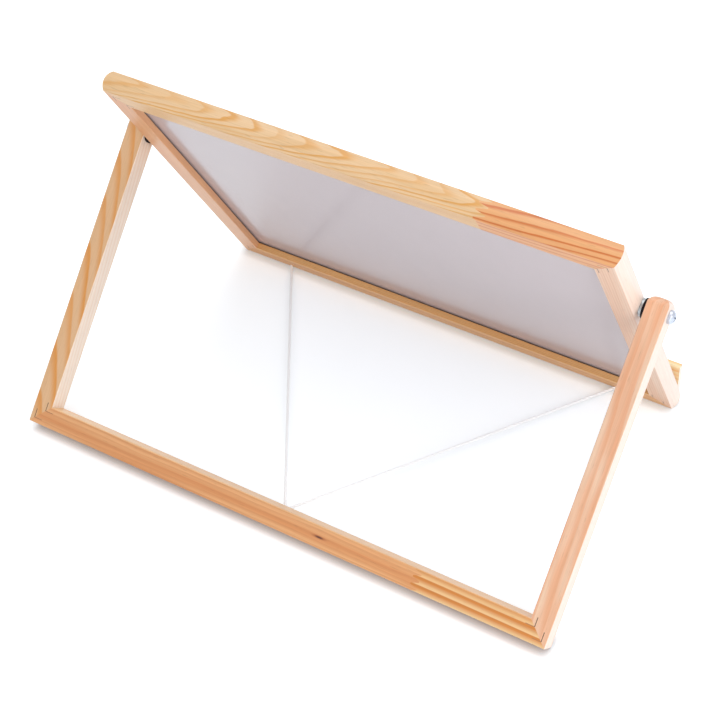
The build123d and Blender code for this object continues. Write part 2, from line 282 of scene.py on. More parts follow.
def fill_growth_rings(w: Wiring, given: dict[str, Socket]) -> dict[str, Socket]:
    """Growth rings of a log, seen wherever the timber was cut.

    A ring's number is (distance from the pith + slope x place along the grain + wander) over the
    spacing. The wander is a slow noise with a little of a quick one, less the middle of both.
    Inside a ring the wood darkens slowly and ends in a sharp edge.

    Args:
        w: Where the nodes go.
        given: Vector (along, across, through), Pith Across, Pith Through, Slope, Spacing, Wander,
            and Start, the share of a ring at which it begins to darken.

    Returns:
        Late, how dark the late wood is, and Ring, a random number for each ring.
    """
    slow_waves, quick_waves = (9.0, 60.0, 60.0), (70.0, 260.0, 260.0)
    quick_share = 0.12
    middle = 0.5 * (1.0 + quick_share)
    darkest = 0.88
    along, across, through = w.apart(given["Vector"])
    across = w.maths("SUBTRACT", across, given["Pith Across"])
    through = w.maths("SUBTRACT", through, given["Pith Through"])
    radius = w.maths("SQRT", w.maths("ADD", w.maths("MULTIPLY", across, across),
                                     w.maths("MULTIPLY", through, through)))
    slow = w.noise(given["Vector"], slow_waves, detail=1.0)
    quick = w.noise(given["Vector"], quick_waves, detail=1.0)
    both = w.maths("MULTIPLY_ADD", quick, quick_share, w.maths("SUBTRACT", slow, middle))
    wander = w.maths("MULTIPLY", both, given["Wander"])
    place = w.maths("ADD", w.maths("MULTIPLY_ADD", along, given["Slope"], radius), wander)
    rings = w.maths("DIVIDE", place, given["Spacing"])
    inside = w.maths("FRACT", rings)
    rise = w.remap(inside, given["Start"], darkest, smooth=True)
    fall = w.remap(inside, darkest, 1.0, 1.0, 0.0, smooth=True)
    number = w.maths("FLOOR", rings)
    drawn = w.add("ShaderNodeTexWhiteNoise", {"W": number}, noise_dimensions="1D").outputs[0]
    return {"Late": w.maths("MULTIPLY", rise, fall), "Ring": drawn}


def fill_wood_fibre(w: Wiring, given: dict[str, Socket]) -> dict[str, Socket]:
    """Fine fibres, resin flecks and slow tints, all drawn out along the grain.

    Args:
        w: Where the nodes go.
        given: Vector (along, across, through), and Bands, how often the tints change along each.

    Returns:
        Fibre, fine streaks about 0.5 mm wide; Fleck, a few dark dashes; Tint, broad bands.
    """
    coarse_waves, fine_waves = (14.0, 900.0, 900.0), (60.0, 3200.0, 3200.0)
    coarse_share = 0.65
    dash_waves, dash_span = (110.0, 1300.0, 1300.0), (0.70, 0.80)
    tint_span = (0.35, 0.65)
    coarse = w.noise(given["Vector"], coarse_waves, detail=3.0)
    fine = w.noise(given["Vector"], fine_waves, detail=1.0)
    dashes = w.noise(given["Vector"], dash_waves, detail=0.0)
    tints = w.noise(given["Vector"], given["Bands"], detail=1.0)
    return {
        "Fibre": w.maths("MULTIPLY_ADD", coarse, coarse_share, w.maths("MULTIPLY", fine, 1.0 - coarse_share)),
        "Fleck": w.remap(dashes, *dash_span, smooth=True),
        "Tint": w.remap(tints, *tint_span, smooth=True),
    }


def fill_spot(w: Wiring, given: dict[str, Socket]) -> dict[str, Socket]:
    """A soft-edged oval mark: 1 inside, falling to 0 at its rim.

    The distance is the root of the sum of the squares of each offset over its half length.

    Args:
        w: Where the nodes go.
        given: Vector, and Centre and Half Size, both vectors.

    Returns:
        Mask, the mark.
    """
    core = 0.35
    offset = w.vector_maths("SUBTRACT", given["Vector"], given["Centre"])
    scaled = w.vector_maths("DIVIDE", offset, given["Half Size"])
    distance = w.add("ShaderNodeVectorMath", {0: scaled}, operation="LENGTH").outputs[1]
    return {"Mask": w.remap(distance, core, 1.0, 1.0, 0.0, smooth=True)}


GROWTH_RINGS = shader_group(
    "growth rings",
    {"Vector": None, "Pith Across": 0.0, "Pith Through": 0.0, "Slope": 0.0, "Spacing": 0.003, "Wander": 0.001,
     "Start": 0.2},
    ("Late", "Ring"),
    fill_growth_rings,
)
WOOD_FIBRE = shader_group(
    "wood fibre", {"Vector": None, "Bands": None}, ("Fibre", "Fleck", "Tint"), fill_wood_fibre
)
SPOT = shader_group("spot", {"Vector": None, "Centre": None, "Half Size": None}, ("Mask",), fill_spot)


# ---------------------------------------------------------------- finishes


@dataclass(frozen=True)
class Finish:
    """What every finish has.

    Attributes:
        name: The material's name.
    """

    name: str

    def make(self) -> bpy.types.Material:
        """Makes the material, with one Principled shader that the finish feeds.

        Returns:
            The finished material.
        """
        material = bpy.data.materials.new(self.name)
        w = emptied(material)
        shader = w.add("ShaderNodeBsdfPrincipled")
        w.add("ShaderNodeOutputMaterial", {"Surface": shader.outputs[0]})
        self.dress(w, shader)
        return material

    def dress(self, w: Wiring, shader: bpy.types.Node) -> None:
        """Feeds the shader, which each kind of finish does in its own way."""
        raise NotImplementedError


@dataclass(frozen=True)
class Mark:
    """A mark in one timber, such as a knot, or a painted highlight along one face.

    Attributes:
        centre: Its place along, across and through the timber.
        half_size: Half its size along each of these.
        colour: Its colour.
    """

    centre: Point
    half_size: Point
    colour: Colour = (0.33, 0.16, 0.10)


@dataclass(frozen=True)
class TimberFinish(Finish):
    """Planed softwood under a thin clear finish.

    Attributes:
        lie: How the timber's frame lies.
        run: Which way its grain runs.
        early: Colour of the early wood.
        late: Colour of the late wood, at the end of a ring.
        tint: Colour of broad bands in it.
        tint_share: How much of that colour shows.
        pith: Where the middle of the log was, across and through.
        spacing: Width of a ring.
        slope: How fast the rings drift across for each metre along.
        wander: How far a ring strays from its line.
        late_share: How strong the late wood is.
        late_spread: How much that differs from ring to ring.
        late_start: The share of a ring at which it begins to darken.
        fibre_share: How strong the fibres are.
        fleck_share: How strong the flecks are beside the fibres.
        bands: How often the tint changes along, across and through, in waves per metre.
        marks: Marks in it.
        side: Colour of the painted highlight on the faces that point to -X, or None.
        side_facing: The normal's x at which that painted highlight starts to show and shows in full.
        side_rings: How strongly the rings show there.
        shift: Moves the fibres, so that no two timbers are alike.
        roughness: How dull it is between the fibres.
        fibre_roughness: What a fibre adds to that.
        late_roughness: What the late wood adds to that.
        coat: How much clear finish lies on it.
        coat_roughness: How dull that is.
        relief: How far the late wood stands out and a fibre sinks in, as a share of the depth.
        depth: How deep the grain can be felt.
    """

    lie: Lie
    run: Run
    early: Colour
    late: Colour
    tint: Colour
    tint_share: float
    pith: Span
    spacing: float
    slope: float = 0.0
    wander: float = 0.0015
    late_share: float = 0.8
    late_spread: float = 0.6
    late_start: float = 0.2
    fibre_share: float = 0.15
    fleck_share: float = 0.6
    bands: Point = (3.5, 70.0, 70.0)
    marks: tuple[Mark, ...] = ()
    side: Colour | None = None
    side_facing: Span = (-0.45, -0.85)
    side_rings: float = 0.3
    shift: float = 0.0
    roughness: float = 0.36
    fibre_roughness: float = 0.25
    late_roughness: float = -0.08
    coat: float = 0.35
    coat_roughness: float = 0.3
    relief: float = 0.5
    depth: float = 0.00006

    def in_timber(self, w: Wiring) -> Socket:
        """Turns the place on the object into the timber's own.

        Args:
            w: The material's wiring.

        Returns:
            The place along, across and through the timber.
        """
        turn = self.lie.axes(self.run)
        moved = -(turn @ Vector(self.lie.origin))
        inputs = {"Vector": w.place(), "Location": moved, "Rotation": turn.to_euler()}
        return w.add("ShaderNodeMapping", inputs).outputs[0]

    def dress(self, w: Wiring, shader: bpy.types.Node) -> None:
        """Feeds the shader with rings and tints, then the painted highlight on the -X side, the marks and the
        fibres.

        Args:
            w: The material's wiring.
            shader: Its shader.
        """
        place = self.in_timber(w)
        rings = w.add("ShaderNodeGroup", {
            "Vector": place, "Pith Across": self.pith[0], "Pith Through": self.pith[1], "Slope": self.slope,
            "Spacing": self.spacing, "Wander": self.wander, "Start": self.late_start,
        }, node_tree=GROWTH_RINGS).outputs
        shifted = w.vector_maths("ADD", place, (self.shift, self.shift, 0.0))
        fibre = w.add("ShaderNodeGroup", {"Vector": shifted, "Bands": self.bands},
                      node_tree=WOOD_FIBRE).outputs

        weakest = self.late_share * (1.0 - self.late_spread / 2)
        weight = w.maths("MULTIPLY_ADD", rings["Ring"], self.late_share * self.late_spread, weakest)
        late = w.add("ShaderNodeMath", {0: rings["Late"], 1: weight}, operation="MULTIPLY",
                     use_clamp=True).outputs[0]
        tinted = w.maths("MULTIPLY", fibre["Tint"], self.tint_share)
        ground = w.mix(tinted, linear(self.early), linear(self.tint))
        colour = w.mix(late, ground, linear(self.late))
        # Painted highlight: faces towards -X, where the strongest light falls, are painted paler with fainter
        # rings.
        if self.side is not None:
            sideways = w.apart(w.add("ShaderNodeTexCoord").outputs["Normal"])[0]
            facing = w.remap(sideways, *self.side_facing, smooth=True)
            pale = w.mix(w.maths("MULTIPLY", late, self.side_rings), linear(self.side), linear(self.early))
            colour = w.mix(facing, colour, pale)
        for mark in self.marks:
            spot = w.add("ShaderNodeGroup", {0: place, 1: mark.centre, 2: mark.half_size}, node_tree=SPOT)
            colour = w.mix(spot.outputs[0], colour, linear(mark.colour))
        # Where the fibre is 0 the wood is brighter by the share, and where it is 1 darker by it.
        share = w.maths("MULTIPLY_ADD", fibre["Fibre"], -2.0 * self.fibre_share, 1.0 + self.fibre_share)
        share = w.maths("MULTIPLY_ADD", fibre["Fleck"], -self.fleck_share * self.fibre_share, share)

        rough = w.maths("MULTIPLY_ADD", fibre["Fibre"], self.fibre_roughness, self.roughness)
        sunk = w.maths("MULTIPLY", fibre["Fibre"], -self.relief)
        w.feed(shader, {
            "Base Color": w.shade(colour, share),
            "Roughness": w.maths("MULTIPLY_ADD", late, self.late_roughness, rough),
            "Coat Weight": self.coat,
            "Coat Roughness": self.coat_roughness,
            "Normal": w.bump(w.maths("MULTIPLY_ADD", late, self.relief, sunk), self.depth),
        })


@dataclass(frozen=True)
class SheetFinish(Finish):
    """A smooth white sheet, with a faint unevenness.

    Attributes:
        colour: Its colour.
        roughness: How dull it is.
        cloud_waves: How often its brightness changes along each axis, in waves per metre.
        cloud_share: How much of its brightness is left in a dark and in a bright place.
        smear_waves: How often its dullness changes.
        smear: What that adds to it at the least and at the most.
        ripple_waves: How often its height changes.
        ripple_depth: By how much.
    """

    colour: Colour
    roughness: float
    cloud_waves: Point = (7.0, 7.0, 7.0)
    cloud_share: Span = (0.97, 1.0)
    smear_waves: Point = (60.0, 25.0, 25.0)
    smear: Span = (-0.03, 0.04)
    ripple_waves: Point = (45.0, 45.0, 45.0)
    ripple_depth: float = 0.00004

    def dress(self, w: Wiring, shader: bpy.types.Node) -> None:
        """Feeds the shader with clouds, smears and ripples.

        Args:
            w: The material's wiring.
            shader: Its shader.
        """
        place = w.place()
        cloud = w.remap(w.noise(place, self.cloud_waves, detail=3.0), *NOISE_SPAN, *self.cloud_share)
        least, most = (self.roughness + change for change in self.smear)
        w.feed(shader, {
            "Base Color": w.shade(linear(self.colour), cloud),
            "Roughness": w.remap(w.noise(place, self.smear_waves, detail=4.0), *NOISE_SPAN, least, most),
            "Normal": w.bump(w.noise(place, self.ripple_waves, detail=1.0), self.ripple_depth),
        })


@dataclass(frozen=True)
class MetalFinish(Finish):
    """Bare or plated steel, finely brushed.

    Attributes:
        colour: Its colour.
        roughness: How dull it is.
        stain: Colour of stains on it.
        stain_share: How much they show.
        stain_waves: How often they change along each axis, in waves per metre.
        stain_span: The noise at which they start to show and show in full.
        brush_waves: How often the brushing changes.
        brush: What it adds to the dullness at the least and at the most.
        brush_depth: How deep it is.
    """

    colour: Colour
    roughness: float
    stain: Colour
    stain_share: float
    stain_waves: Point = (700.0, 700.0, 700.0)
    stain_span: Span = (0.45, 0.75)
    brush_waves: Point = (300.0, 6000.0, 6000.0)
    brush: Span = (-0.05, 0.08)
    brush_depth: float = 0.00001

    def dress(self, w: Wiring, shader: bpy.types.Node) -> None:
        """Feeds the shader with stains and brushing.

        Args:
            w: The material's wiring.
            shader: Its shader.
        """
        place = w.place()
        patches = w.noise(place, self.stain_waves, detail=3.0)
        stains = w.remap(patches, *self.stain_span, 0.0, self.stain_share)
        brushed = w.noise(place, self.brush_waves, detail=1.0)
        least, most = (self.roughness + change for change in self.brush)
        w.feed(shader, {
            "Base Color": w.mix(stains, linear(self.colour), linear(self.stain)),
            "Roughness": w.remap(brushed, *NOISE_SPAN, least, most),
            "Metallic": 1.0,
            "Normal": w.bump(brushed, self.brush_depth),
        })


@dataclass(frozen=True)
class NailFinish(Finish):
    """Edges of corrugated nails, dark in the uprights and smeared over with wood in the rails.

    Attributes:
        lie: How the joined frame lies.
        reach: Half its width, so that a mitre is where |x| + height up the slope equals it.
        bare: Colour of the bare edge.
        smeared: Colour where wood and filler cover it.
        blur: How softly the one changes to the other, to each side of the mitre.
        speck_waves: How often specks of filler change along each axis, in waves per metre.
        speck_span: The noise at which they start to show and show in full.
        speck_share: How much they show.
        metal: How metallic the bare edge is.
        roughness: How dull it is without and with specks.
        depth: How far the specks stand out.
    """

    lie: Lie
    reach: float
    bare: Colour
    smeared: Colour
    blur: float = 0.0005
    speck_waves: Point = (900.0, 900.0, 900.0)
    speck_span: Span = (0.4, 0.65)
    speck_share: float = 0.6
    metal: float = 0.8
    roughness: Span = (0.4, 0.6)
    depth: float = 0.00002

    def dress(self, w: Wiring, shader: bpy.types.Node) -> None:
        """Feeds the shader with bare steel beyond the mitre, smears before it and specks.

        Args:
            w: The material's wiring.
            shader: Its shader.
        """
        place = w.place()
        x, y, z = w.apart(place)
        up, (_, rear, bottom) = self.lie.up(), self.lie.origin
        rise = w.maths("MULTIPLY_ADD", y, up.y, w.maths("MULTIPLY", z, up.z))
        height = w.maths("SUBTRACT", rise, rear * up.y + bottom * up.z)
        beyond = w.maths("SUBTRACT", w.maths("ADD", w.maths("ABSOLUTE", x), height), self.reach)
        clean = w.remap(beyond, -self.blur, self.blur)
        filler = w.noise(place, self.speck_waves, detail=3.0)
        specks = w.remap(filler, *self.speck_span, 0.0, self.speck_share)
        steel = w.mix(clean, linear(self.smeared), linear(self.bare))
        w.feed(shader, {
            "Base Color": w.mix(specks, steel, linear(self.smeared)),
            "Metallic": w.remap(clean, 0.0, 1.0, 0.0, self.metal),
            "Roughness": w.remap(specks, 0.0, 1.0, *self.roughness),
            "Normal": w.bump(specks, self.depth),
        })


@dataclass(frozen=True)
class RubberFinish(Finish):
    """Moulded rubber or raw board with a dusty grain.

    Attributes:
        colour: Its colour.
        dust: Colour of the dust on it.
        dust_span: The noise at which the dust starts to show and shows in full.
        dust_share: How much it shows.
        grain_waves: How often the grain changes along each axis, in waves per metre.
        roughness: How dull it is at the least and at the most.
        shine: How much it reflects.
        depth: How deep its grain is.
    """

    colour: Colour
    dust: Colour
    dust_span: Span = (0.5, 0.8)
    dust_share: float = 0.15
    grain_waves: Point = (2500.0, 2500.0, 2500.0)
    roughness: Span = (0.62, 0.8)
    shine: float = 0.25
    depth: float = 0.00001

    def dress(self, w: Wiring, shader: bpy.types.Node) -> None:
        """Feeds the shader with grain and dust.

        Args:
            w: The material's wiring.
            shader: Its shader.
        """
        grain = w.noise(w.place(), self.grain_waves, detail=2.0)
        dust = w.remap(grain, *self.dust_span, 0.0, self.dust_share)
        w.feed(shader, {
            "Base Color": w.mix(dust, linear(self.colour), linear(self.dust)),
            "Roughness": w.remap(grain, *NOISE_SPAN, *self.roughness),
            "Specular IOR Level": self.shine,
            "Normal": w.bump(grain, self.depth),
        })


@dataclass(frozen=True)
class YarnFinish(Finish):
    """Twisted white yarn: filaments along each strand, read from the strand's own map.

    Attributes:
        colour: Its colour.
        shade: Colour in the hollows between filaments.
        filament_waves: How often they change for each lay, and for each turn round a strand.
        hollow_span: The noise of the deepest hollow and where hollows end.
        hollow_share: How much of the shade shows in the deepest hollow.
        painted_glow: How much it glows though it is no lamp, a painted light that brightens the yarn.
        roughness: How dull it is.
        soak: How much of the light goes into the yarn.
        soak_depth: How far it goes in.
        fuzz: How much sheen its loose fibres give it.
        fuzz_roughness: How dull that sheen is.
        depth: How far the filaments stand out.
    """

    colour: Colour
    shade: Colour
    filament_waves: Point = (2.2, 14.0, 1.0)
    hollow_span: Span = (0.35, 0.7)
    hollow_share: float = 0.7
    painted_glow: float = 0.18
    roughness: float = 0.75
    soak: float = 0.4
    soak_depth: float = 0.0004
    fuzz: float = 0.3
    fuzz_roughness: float = 0.5
    depth: float = 0.00008

    def dress(self, w: Wiring, shader: bpy.types.Node) -> None:
        """Feeds the shader with filaments, soft light, sheen and a faint painted glow.

        Args:
            w: The material's wiring.
            shader: Its shader.
        """
        place = w.add("ShaderNodeUVMap", uv_map="strand").outputs[0]
        filaments = w.noise(place, self.filament_waves, detail=2.0)
        hollows = w.remap(filaments, *self.hollow_span, self.hollow_share, 0.0)
        w.feed(shader, {
            "Base Color": w.mix(hollows, linear(self.colour), linear(self.shade)),
            # Painted light: the yarn glows by itself, so that it shows brighter than it is lit.
            "Emission Color": linear(self.colour),
            "Emission Strength": self.painted_glow,
            "Roughness": self.roughness,
            "Subsurface Weight": self.soak,
            "Subsurface Radius": (1.0, 1.0, 1.0),
            "Subsurface Scale": self.soak_depth,
            "Sheen Weight": self.fuzz,
            "Sheen Roughness": self.fuzz_roughness,
            "Normal": w.bump(filaments, self.depth),
        })


def staple_steel(name: str) -> MetalFinish:
    """Dark steel of a staple, with dark brown patches."""
    return MetalFinish(name, (0.36, 0.34, 0.34), roughness=0.42, stain=(0.25, 0.16, 0.12), stain_share=0.6)


# ---------------------------------------------------------------- pieces of the loaded frame


class Dressed:
    """A sub-assembly whose shapes are the frame's own nodes."""

    def finishes(self) -> dict[str, Finish]:
        """The finish of each node, which each sub-assembly chooses for itself."""
        raise NotImplementedError

    def build(self) -> None:
        """Gives each node its finish, one material for each different finish."""
        made: dict[str, bpy.types.Material] = {}
        for node, finish in self.finishes().items():
            if finish.name not in made:
                made[finish.name] = finish.make()
            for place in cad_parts[node].material_slots:
                place.material = made[finish.name]
            log.info("%s dressed as %s", node, finish.name)


@dataclass
class Board(Dressed):
    """The board: four mitred sides, one of them in two lengths, the panel, the ledge and their steel.

    Attributes:
        lie: How it lies.
        reach: Half its width.
    """

    lie: Lie = BOARD_LIE
    reach: float = 0.203

    def finishes(self) -> dict[str, Finish]:
        """Chooses its timbers, sheets and steel.

        Returns:
            The finish of each node.
        """
        rail = partial(TimberFinish, lie=self.lie, run=Run.ACROSS)
        stile = partial(TimberFinish, lie=self.lie, run=Run.UPRIGHT, late=(0.86, 0.60, 0.44), tint_share=0.8,
                        spacing=0.0021, slope=0.008, late_share=0.38, fibre_share=0.18)
        # The side colours below are painted highlights on the faces towards -X.
        return {
            "board_top_rail_right": rail(
                "pale_top_timber", early=(0.93, 0.785, 0.61), late=(0.88, 0.64, 0.33),
                tint=(0.90, 0.74, 0.54), tint_share=0.7, pith=(0.2292, -0.0085), spacing=0.00145,
                slope=0.058, wander=0.0042, late_share=0.85, late_spread=1.2, late_start=0.4,
                fibre_share=0.2, bands=(12.0, 120.0, 120.0), shift=0.11),
            "board_top_rail_left": rail(
                "orange_top_timber", early=(0.92, 0.68, 0.46), late=(0.82, 0.45, 0.19),
                tint=(0.91, 0.64, 0.41), tint_share=0.6, pith=(0.26, -0.05), spacing=0.0040,
                slope=0.05, wander=0.0045, late_share=1.0, late_spread=0.7, late_start=0.5,
                fibre_share=0.2, shift=0.23),
            "board_bottom_rail": rail(
                "golden_bottom_timber", early=(0.945, 0.75, 0.50), late=(0.85, 0.54, 0.285),
                tint=(0.915, 0.675, 0.42), tint_share=0.6, pith=(0.02, -0.060), spacing=0.0012,
                wander=0.0008, late_share=0.6, fibre_share=0.21, shift=0.37),
            "board_right_stile": stile(
                "tan_stile_timber", early=(0.93, 0.72, 0.54), tint=(0.88, 0.63, 0.43),
                pith=(-0.30, 0.01), shift=0.41),
            "board_left_stile": stile(
                "pink_stile_timber", early=(0.95, 0.84, 0.75), tint=(0.92, 0.74, 0.61),
                pith=(0.34, 0.01), side=(0.95, 0.87, 0.82), shift=0.53),
            "marker_ledge": rail(
                "amber_ledge_timber", early=(1.0, 0.93, 0.78), late=(0.97, 0.77, 0.48),
                tint=(0.98, 0.87, 0.64), tint_share=0.5, pith=(0.09, 0.005), spacing=0.0034,
                wander=0.0012, late_share=0.65, side=(0.97, 0.91, 0.87), shift=0.61),
            "writing_sheet": SheetFinish("gloss_writing_paint", (0.95, 0.95, 0.96), roughness=0.14),
            # Partly painted shade: this white laminate is written greyer and more lilac than the front's, for
            # the shade it lies in.
            "back_sheet": SheetFinish("gloss_back_laminate_with_painted_shade", (0.79, 0.75, 0.775), roughness=0.16),
            "panel_core": RubberFinish("raw_fibre_board", (0.55, 0.42, 0.30), dust=(0.68, 0.55, 0.42)),
            "board_v_nails": NailFinish("board_nail_edges", self.lie, self.reach, bare=(0.55, 0.43, 0.38),
                                        smeared=(0.78, 0.62, 0.50)),
            "board_cord_staples": staple_steel("dark_cord_staple_steel"),
        }


@dataclass
class Stand(Dressed):
    """The U-shaped stand: two legs, a rail in two lengths and their steel.

    Attributes:
        lie: How it lies.
        reach: Half its width.
    """

    lie: Lie = STAND_LIE
    reach: float = 0.223

    def finishes(self) -> dict[str, Finish]:
        """Chooses its timbers and steel.

        Returns:
            The finish of each node.
        """
        rail = partial(TimberFinish, lie=self.lie, run=Run.ACROSS)
        leg = partial(TimberFinish, lie=self.lie, run=Run.UPRIGHT)
        # Painted highlight: a pale band along the rails' top face stands in for the light from above.
        painted_top_highlight = Mark((0.0, 0.0178, 0.009), (3.0, 0.0030, 0.05), (1.0, 0.85, 0.645))
        knot_place = (-0.0395, 0.0079, 0.0)
        knot_halo = Mark(knot_place, (0.0085, 0.0016, 0.003), (0.72, 0.42, 0.24))
        knot = Mark(knot_place, (0.0045, 0.0009, 0.002))
        # The side colours below are painted highlights on the faces towards -X.
        return {
            "stand_right_leg": leg(
                "streaked_leg_timber", early=(0.89, 0.72, 0.55), late=(0.87, 0.58, 0.26),
                tint=(0.87, 0.69, 0.50), tint_share=0.6, pith=(-0.235, -0.060), spacing=0.0038,
                slope=0.099, wander=0.0018, late_share=0.9, late_spread=0.3, late_start=0.35,
                side=(0.97, 0.91, 0.85), shift=0.71),
            "stand_left_leg": leg(
                "pink_leg_timber", early=(0.93, 0.79, 0.68), late=(0.89, 0.60, 0.42),
                tint=(0.91, 0.70, 0.56), tint_share=0.9, pith=(0.19, 0.03), spacing=0.0052, slope=0.02,
                wander=0.004, late_share=0.45, fibre_share=0.19, bands=(16.0, 75.0, 75.0),
                side=(0.95, 0.87, 0.82), shift=0.83),
            "stand_rail_right": rail(
                "orange_rail_timber", early=(0.91, 0.68, 0.47), late=(0.81, 0.51, 0.29),
                tint=(0.85, 0.57, 0.35), tint_share=1.0, pith=(-0.075, -0.02), spacing=0.0036,
                slope=0.006, wander=0.005, late_share=0.5, fibre_share=0.22, bands=(5.0, 100.0, 90.0),
                shift=0.97, marks=(painted_top_highlight, knot_halo, knot)),
            "stand_rail_left": rail(
                "striped_rail_timber", early=(0.93, 0.77, 0.56), late=(0.82, 0.50, 0.19),
                tint=(0.91, 0.72, 0.49), tint_share=0.4, pith=(-0.158, 0.02), spacing=0.0059,
                wander=0.0012, late_share=1.15, late_spread=0.1, late_start=0.0, fibre_share=0.18,
                shift=1.09, marks=(painted_top_highlight,)),
            "stand_v_nails": NailFinish("stand_nail_edges", self.lie, self.reach, bare=(0.34, 0.29, 0.27),
                                        smeared=(0.70, 0.48, 0.33)),
            "stand_cord_staple": staple_steel("dark_staple_steel"),
        }


class Pivots(Dressed):
    """The two pivots: a pan-head screw, a steel washer and a rubber washer each."""

    def finishes(self) -> dict[str, Finish]:
        """Chooses the metals and the rubber.

        Returns:
            The finish of each node.
        """
        kinds = {
            "pivot_screw": MetalFinish("plated_screw_steel", (0.80, 0.82, 0.87), roughness=0.26,
                                       stain=(0.45, 0.44, 0.50), stain_share=0.2),
            "steel_washer": MetalFinish("plated_washer_steel", (0.70, 0.71, 0.72), roughness=0.34,
                                        stain=(0.4, 0.38, 0.36), stain_share=0.3),
            "rubber_washer": RubberFinish("black_washer_rubber", (0.06, 0.03, 0.07), dust=(0.12, 0.09, 0.14)),
        }
        return {f"{side}_{kind}": finish for side in ("left", "right") for kind, finish in kinds.items()}


# ---------------------------------------------------------------- the cord


@dataclass
class SpreadCord:
    """The twisted cord that stops the stand: from the board to the stand and back.

    Attributes:
        diameter: Over its strands.
        strand_count: How many strands it is laid up from.
        lay: How far along the cord one strand takes to go round once.
        steps: Rings of vertices in one lay.
        around: Vertices round one strand.
        end: Its end under the board, past the staple.
        knee: Where it turns down to the table.
        near_knee: A point on the straight stretch, just past the knee.
        off_board: A point on the straight stretch, about 6 diameters from the knee.
        off_stand: A point on the straight stretch, about 6 diameters from the top of the fold.
        near_fold: A point on the straight stretch, just before the top of the fold.
        fold_top: Where it meets the stand.
        past_staple: Just below the stand's staple.
        fold_end: The corner of the fold.
        real_length: Its real length, which is not used.
        route_order: How many of its points pull on each place of its route.
        route_steps: How finely its route is followed from each point to the next.
        same_place: Places of its route that are no farther apart than this are one.
        map_shift: How far each strand's map lies from the last one's, so that no two are alike.
        finish: Its finish.
    """

    diameter: float = 0.0023
    strand_count: int = 3
    lay: float = 0.0114
    steps: int = 14
    around: int = 10
    end: Point = (0.1619, -0.1419, 0.0043)
    knee: Point = (0.1602, -0.1393, 0.0012)
    near_knee: Point = (0.15737, -0.13467, 0.00133)
    off_board: Point = (0.15258, -0.12686, 0.00158)
    off_stand: Point = (0.00862, 0.10797, 0.00902)
    near_fold: Point = (0.00263, 0.11773, 0.00933)
    fold_top: Point = (0.0013, 0.1199, 0.0094)
    past_staple: Point = (0.0013, 0.1216, 0.0075)
    fold_end: Point = (0.0026, 0.1265, 0.0019)
    real_length: float = 0.639
    route_order: int = 3
    route_steps: int = 32
    same_place: float = 1e-7
    map_shift: Span = (3.7, 5.3)
    finish: YarnFinish = YarnFinish("white_cord_yarn", (0.99, 0.995, 1.0), shade=(0.87, 0.88, 0.90))

    def route(self) -> list[Point]:
        """Its points as chosen for the right half, and the same mirrored for the left.

        Returns:
            The control points from the right end, round the fold, to the left end.
        """
        right = [self.end, self.knee, self.near_knee, self.off_board, self.off_stand, self.near_fold,
                 self.fold_top, self.past_staple, self.fold_end]
        return right + [(-x, y, z) for x, y, z in reversed(right)]

    def spine(self) -> np.ndarray:
        """The cord's middle line, at even steps, read from a smooth spline through its route.

        Returns:
            An array of points, one row each.
        """
        curve = bpy.data.curves.new("cord_route", "CURVE")
        curve.dimensions = "3D"
        spline = curve.splines.new("NURBS")
        points = self.route()
        spline.points.add(len(points) - 1)
        for place, point in zip(spline.points, points):
            place.co = (*point, 1.0)
        spline.order_u = self.route_order
        spline.use_endpoint_u = True
        spline.resolution_u = self.route_steps
        holder = bpy.data.objects.new("cord_route", curve)
        bpy.context.scene.collection.objects.link(holder)
        bpy.context.view_layer.update()
        line = bpy.data.meshes.new_from_object(holder)
        raw = np.empty(len(line.vertices) * 3)
        line.vertices.foreach_get("co", raw)
        bpy.data.objects.remove(holder)
        bpy.data.curves.remove(curve)
        bpy.data.meshes.remove(line)
        raw = raw.reshape(-1, 3)
        gaps = np.linalg.norm(np.diff(raw, axis=0), axis=1)
        raw = raw[np.concatenate(([True], gaps > self.same_place))]
        reach = np.concatenate(([0.0], np.cumsum(np.linalg.norm(np.diff(raw, axis=0), axis=1))))
        count = int(round(reach[-1] / self.lay * self.steps)) + 1
        even = np.linspace(0.0, reach[-1], count)
        return np.stack([np.interp(even, reach, raw[:, axis]) for axis in range(3)], axis=1)

    def strands(self, spine: np.ndarray) -> tuple[np.ndarray, np.ndarray, np.ndarray]:
        """Lays the strands round the middle line.

        A strand's centre circles the line at radius R - r, once each lay, and its skin is a circle
        of radius r round that centre, where R is half the cord and r = R / (1 + 1 / sin(pi / n)) for
        n strands that touch each other. A strand's map counts lays along it and turns round it.

        Args:
            spine: The middle line.

        Returns:
            The vertices, the faces as rows of four, and each face corner's place on the strand's map.
        """
        along = np.gradient(spine, axis=0)
        along /= np.linalg.norm(along, axis=1, keepdims=True)
        upward = np.array([0.0, 0.0, 1.0]) - along * along[:, 2:3]
        upward /= np.linalg.norm(upward, axis=1, keepdims=True)
        sideways = np.cross(along, upward)
        outer = self.diameter / 2
        radius = outer / (1 + 1 / math.sin(math.pi / self.strand_count))
        numbers = np.arange(self.strand_count)
        laid = np.arange(len(spine)) / self.steps
        turn = 2 * np.pi * (laid[None, :] + numbers[:, None] / self.strand_count)
        centre = spine[None] + (outer - radius) * (
            np.cos(turn)[..., None] * upward[None] + np.sin(turn)[..., None] * sideways[None])
        angle = 2 * np.pi * np.arange(self.around) / self.around
        ring = np.cos(angle)[:, None, None] * upward[None] + np.sin(angle)[:, None, None] * sideways[None]
        skin = centre[:, :, None, :] + radius * np.transpose(ring, (1, 0, 2))[None]

